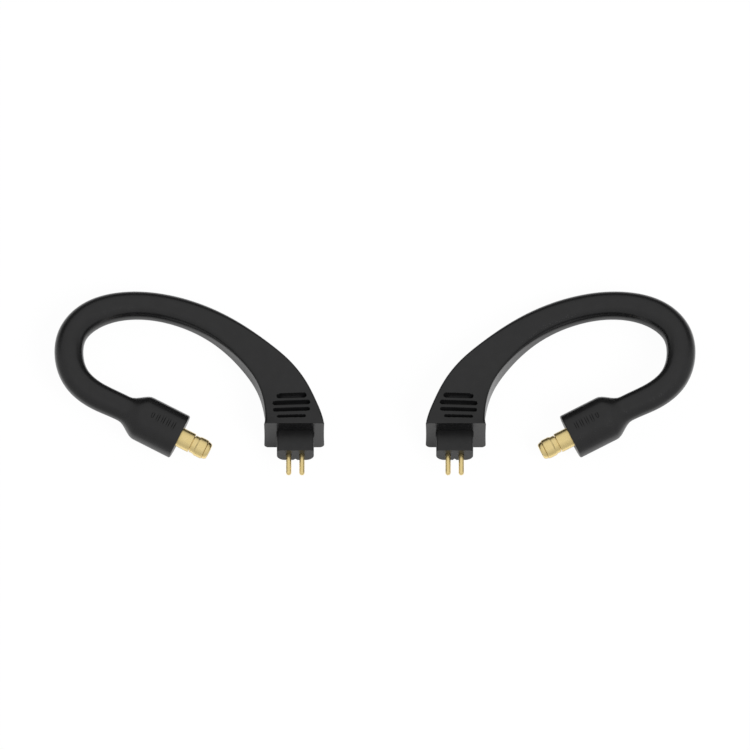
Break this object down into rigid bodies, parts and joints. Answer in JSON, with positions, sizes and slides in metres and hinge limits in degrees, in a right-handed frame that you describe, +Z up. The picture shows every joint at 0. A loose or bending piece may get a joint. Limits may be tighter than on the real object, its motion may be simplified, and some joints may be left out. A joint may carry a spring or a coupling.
{
  "type": "ear hook adapter pair",
  "caption": "Mirrored left and right black ear hooks: a squared end with a contact-pin plug and a round boot with a gold coaxial snap plug, joining an earpiece to a module worn behind it.",
  "frame": {"origin": "on the table, under the middle of the pair's box", "axes": "+X across the pair from the left hook in the picture to the right one, +Z up off the table that the hooks lie on, -Y the way the contact pins point"},
  "size_m": [0.0962, 0.0304, 0.0077],
  "materials": {
    "soft_black_moulding": "satin moulded elastomer",
    "hard_black_plastic": "satin moulded plastic",
    "gold_plating": "satin gold plating on a copper alloy",
    "ivory_insulator": "matte turned insulator",
    "inner_mould_plastic": "hidden hard mould",
    "signal_insulation": "wire insulation",
    "ground_insulation": "wire insulation"
  },
  "bodies": {
    "hooks": {"left_hook_cover": "soft_black_moulding", "left_two_pin_block": "hard_black_plastic", "left_signal_pin": "gold_plating", "left_ground_pin": "gold_plating", "left_two_pin_inner_mould": "inner_mould_plastic", "left_signal_wire": "signal_insulation", "left_ground_wire": "ground_insulation", "left_plug_inner_mould": "inner_mould_plastic", "left_plug_shell": "gold_plating", "left_plug_insulator": "ivory_insulator", "left_plug_centre_pin": "gold_plating", "right_hook_cover": "soft_black_moulding", "right_two_pin_block": "hard_black_plastic", "right_signal_pin": "gold_plating", "right_ground_pin": "gold_plating", "right_two_pin_inner_mould": "inner_mould_plastic", "right_signal_wire": "signal_insulation", "right_ground_wire": "ground_insulation", "right_plug_inner_mould": "inner_mould_plastic", "right_plug_shell": "gold_plating", "right_plug_insulator": "ivory_insulator", "right_plug_centre_pin": "gold_plating"},
    "left_ring": {"left_snap_ring": "gold_plating"},
    "right_ring": {"right_snap_ring": "gold_plating"}
  },
  "joints": [
    {"name": "left_ring_turn", "type": "hinge", "parent": "hooks", "child": "left_ring", "pos_m": [-0.02922, -0.00863, 0.00343], "axis": [0.8916, -0.431, -0.1392], "continuous": true},
    {"name": "right_ring_turn", "type": "hinge", "parent": "hooks", "child": "right_ring", "pos_m": [0.02922, -0.00863, 0.00343], "axis": [-0.8916, -0.431, -0.1392], "continuous": true}
  ]
}
